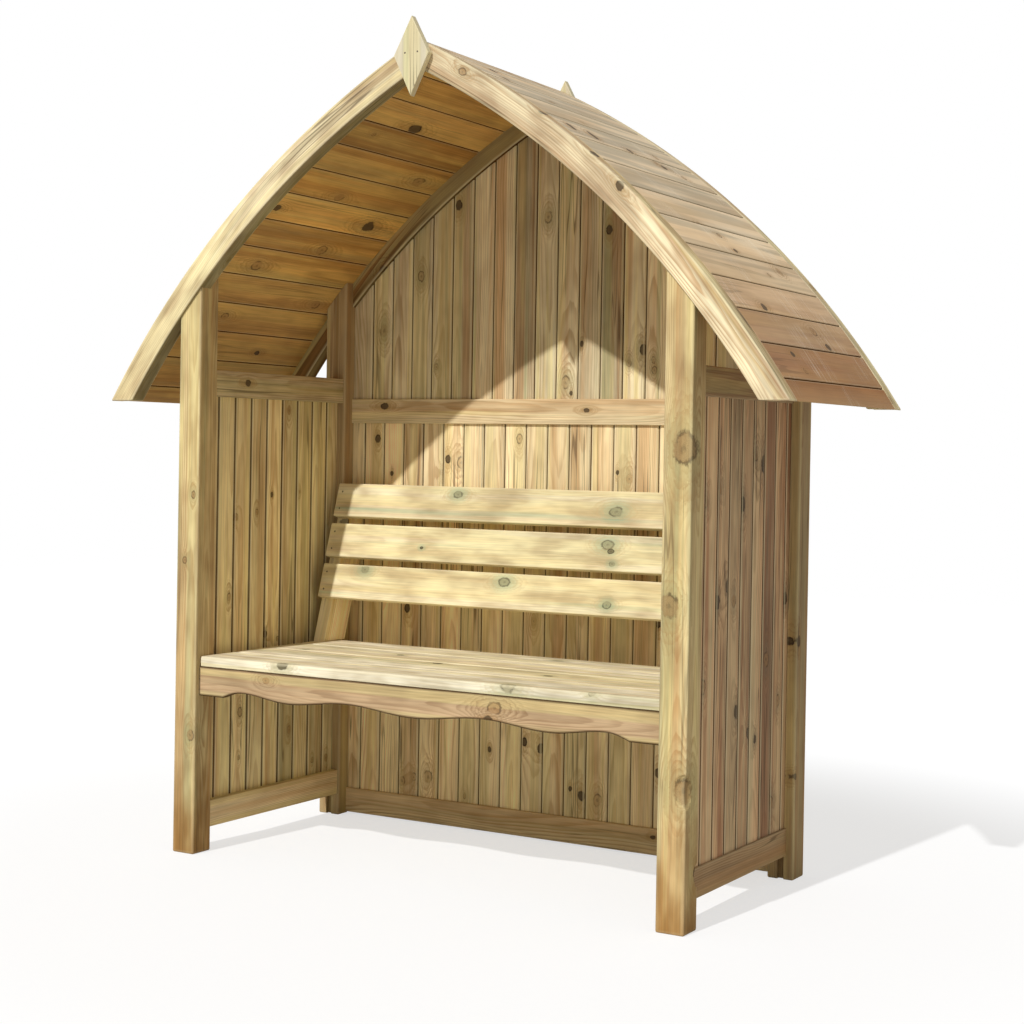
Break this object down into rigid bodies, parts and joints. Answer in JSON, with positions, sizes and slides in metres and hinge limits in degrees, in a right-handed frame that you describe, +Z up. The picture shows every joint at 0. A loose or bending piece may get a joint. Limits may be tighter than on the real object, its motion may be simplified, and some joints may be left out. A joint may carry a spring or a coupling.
{
  "type": "seated garden arbour",
  "caption": "Softwood garden arbour with a slatted bench under a pointed, boat-shaped boarded roof, closed at the back and half-height at the sides.",
  "frame": {"origin": "on the ground, in the middle of the four posts", "axes": "+X to the sitter's left as seen from the front, which is the viewer's right; +Y from the open front to the boarded back; +Z up"},
  "size_m": [1.944, 0.762, 2.105],
  "materials": {
    "post_timber": "planed softwood, lightly weathered, knots",
    "rafter_timber": "sawn softwood, sun-bleached",
    "finial_timber": "sawn softwood, pale",
    "roof_boards": "softwood boards, weathered grey towards the ridge",
    "panel_boards": "tongued and grooved softwood boards",
    "rail_timber": "planed softwood",
    "seat_boards": "planed softwood, pale with green preservative stains",
    "apron_timber": "planed softwood",
    "bearer_timber": "planed softwood"
  },
  "bodies": {
    "root": {"front_left_post": "post_timber", "front_right_post": "post_timber", "back_left_post": "post_timber", "back_right_post": "post_timber", "left_bottom_rail": "rail_timber", "right_bottom_rail": "rail_timber", "left_top_rail": "rail_timber", "right_top_rail": "rail_timber", "left_panel": "panel_boards", "right_panel": "panel_boards", "back_bottom_rail": "rail_timber", "back_mid_rail": "rail_timber", "back_lower_panel": "panel_boards", "back_gable_panel": "panel_boards", "front_left_rafter": "rafter_timber", "front_right_rafter": "rafter_timber", "back_left_rafter": "rafter_timber", "back_right_rafter": "rafter_timber", "left_roof_deck": "roof_boards", "right_roof_deck": "roof_boards", "front_finial": "finial_timber", "back_finial": "finial_timber", "seat_slat_1": "seat_boards", "seat_slat_2": "seat_boards", "seat_slat_3": "seat_boards", "seat_slat_4": "seat_boards", "seat_apron": "apron_timber", "left_seat_bearer": "bearer_timber", "right_seat_bearer": "bearer_timber", "middle_seat_bearer": "bearer_timber", "back_seat_bearer": "bearer_timber", "left_back_support": "bearer_timber", "right_back_support": "bearer_timber", "back_slat_1": "seat_boards", "back_slat_2": "seat_boards", "back_slat_3": "seat_boards"}
  },
  "joints": []
}
